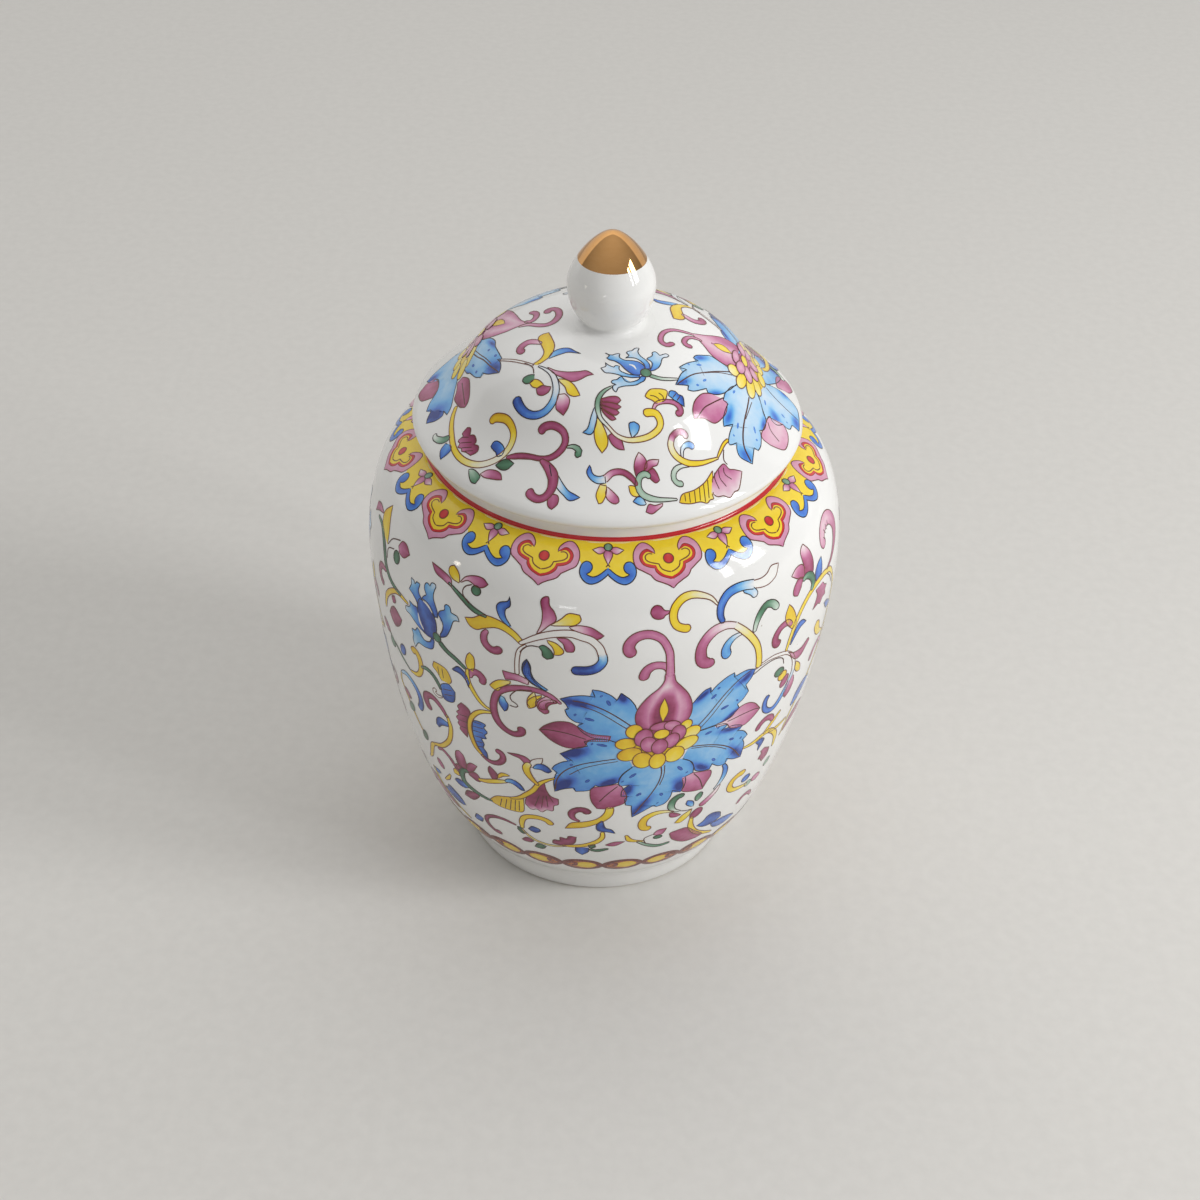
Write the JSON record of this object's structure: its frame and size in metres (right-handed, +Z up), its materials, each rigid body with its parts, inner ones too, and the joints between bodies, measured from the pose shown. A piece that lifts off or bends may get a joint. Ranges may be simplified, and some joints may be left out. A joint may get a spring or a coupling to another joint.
{
  "type": "lidded jar",
  "caption": "Shouldered porcelain jar on a turned foot ring, with a loose double-curved lid, a gilt-tipped bud knob and painted flower scrolls; holds tea, sweets or small things.",
  "frame": {"origin": "centre of the foot ring, on the table", "axes": "+Z up along the axis of the jar, from the foot to the knob; -Y is the side seen in the picture"},
  "size_m": [0.1, 0.1, 0.1497],
  "materials": {
    "jar_glaze": "glossy white glaze with painted overglaze enamel",
    "lid_glaze": "glossy white glaze with painted overglaze enamel",
    "knob_glaze": "glossy white glaze",
    "gilding": "fired bright gold"
  },
  "bodies": {
    "jar": {"jar_body": "jar_glaze"},
    "lid": {"lid": "lid_glaze", "lid_knob": "knob_glaze", "gilt_cap": "gilding"}
  },
  "joints": [
    {"name": "lid_lift", "type": "slide", "parent": "jar", "child": "lid", "axis": [0, 0, 1], "range_m": [0, 0.1]}
  ]
}
